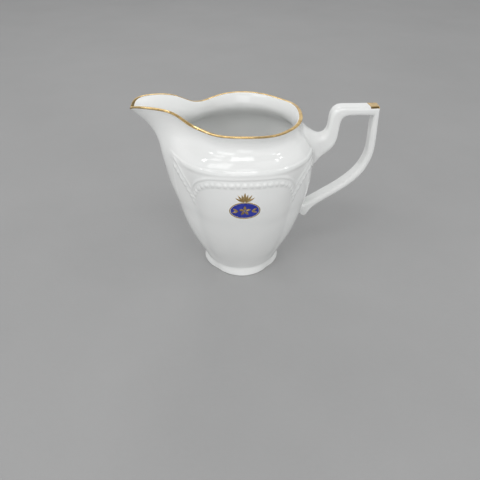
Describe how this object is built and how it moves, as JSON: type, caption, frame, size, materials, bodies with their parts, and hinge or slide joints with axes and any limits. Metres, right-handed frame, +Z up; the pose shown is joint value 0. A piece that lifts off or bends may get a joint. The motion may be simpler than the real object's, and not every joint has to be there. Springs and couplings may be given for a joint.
{
  "type": "cream jug",
  "caption": "Four-lobed porcelain cream jug with an open pouring lip, a squared loop handle, gilded edges and an oval enamel badge.",
  "frame": {"origin": "centre of the foot ring, on the plane that the jug stands on", "axes": "+Z up, the lip points to -X and the handle to +X, the badge is on the -Y side"},
  "size_m": [0.1323, 0.0791, 0.1018],
  "materials": {
    "glaze": "gloss",
    "gold": "burnished",
    "cobalt_enamel": "gloss"
  },
  "bodies": {
    "root": {"body": "glaze", "spout": "glaze", "foot_ring": "glaze", "handle": "glaze", "rim_gilding": "gold", "handle_gilding": "gold", "badge_ground": "cobalt_enamel", "badge_border": "gold", "badge_rosette": "gold", "badge_sprig": "gold"}
  },
  "joints": []
}
